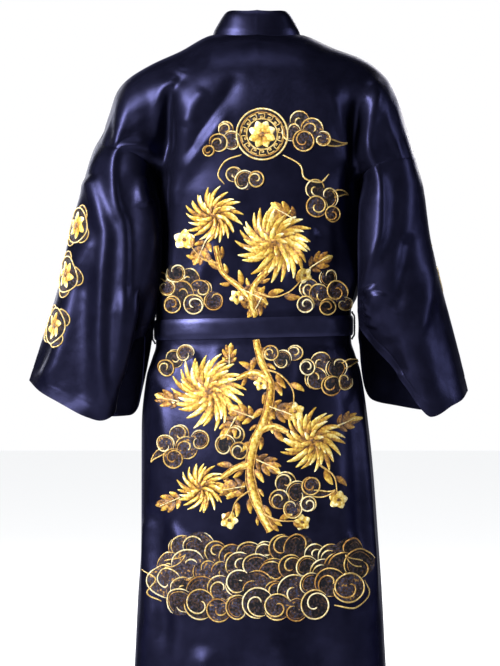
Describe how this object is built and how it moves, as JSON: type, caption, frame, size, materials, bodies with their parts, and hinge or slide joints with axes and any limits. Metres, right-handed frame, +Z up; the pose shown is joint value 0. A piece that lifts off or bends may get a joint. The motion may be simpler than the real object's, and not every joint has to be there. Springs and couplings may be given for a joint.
{
  "type": "kimono robe",
  "caption": "Full-length satin kimono robe with wide sleeves, a neckband and a sash, shaped as worn with nobody in it: hollow, open at neck, cuffs and hem.",
  "frame": {"origin": "middle of the neck seam between the shoulder points, where the wearer's neck and shoulders carry the robe", "axes": "+Z up along the body; the front faces -Y and the back +Y; +X is the wearer's left"},
  "size_m": [0.7468, 0.2983, 1.315],
  "materials": {
    "back": "satin",
    "front_left": "satin",
    "front_right": "satin",
    "sleeve_left": "satin",
    "sleeve_right": "satin",
    "neckband": "satin",
    "sash": "satin",
    "sash_knot": "satin",
    "sash_end_left": "satin",
    "sash_end_right": "satin",
    "sash_loop_left": "satin",
    "sash_loop_right": "satin"
  },
  "bodies": {
    "root": {"back": "back", "front_left": "front_left", "front_right": "front_right", "sleeve_left": "sleeve_left", "sleeve_right": "sleeve_right", "neckband": "neckband", "sash": "sash", "sash_knot": "sash_knot", "sash_end_left": "sash_end_left", "sash_end_right": "sash_end_right", "sash_loop_left": "sash_loop_left", "sash_loop_right": "sash_loop_right"}
  },
  "joints": []
}
